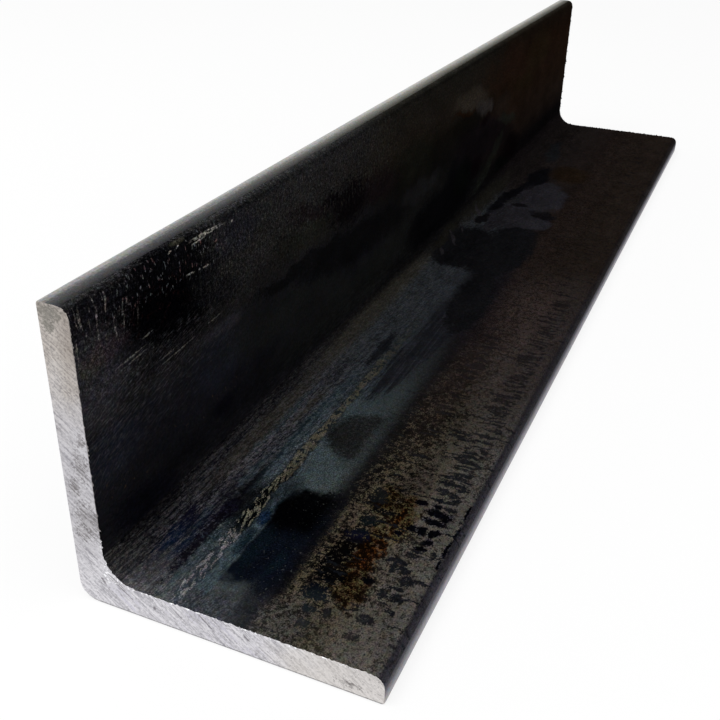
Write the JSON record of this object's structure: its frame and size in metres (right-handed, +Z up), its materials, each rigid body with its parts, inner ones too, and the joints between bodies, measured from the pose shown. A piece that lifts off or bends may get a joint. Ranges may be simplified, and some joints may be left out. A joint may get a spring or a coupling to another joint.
{
  "type": "steel angle section",
  "caption": "Short length of hot-rolled equal-leg steel angle, with a filleted inside corner, rounded toes and square sawn ends, for framing and brackets.",
  "frame": {"origin": "underside of the lying leg, at the middle of the bar's box across and along", "axes": "+X across the lying leg from heel to toe, +Y along the bar from the front sawn end to the back one, +Z up along the upright leg, which stands at -X"},
  "size_m": [0.05, 0.285, 0.05],
  "materials": {
    "rolled_steel": "matte"
  },
  "bodies": {
    "root": {"angle_bar": "rolled_steel"}
  },
  "joints": []
}
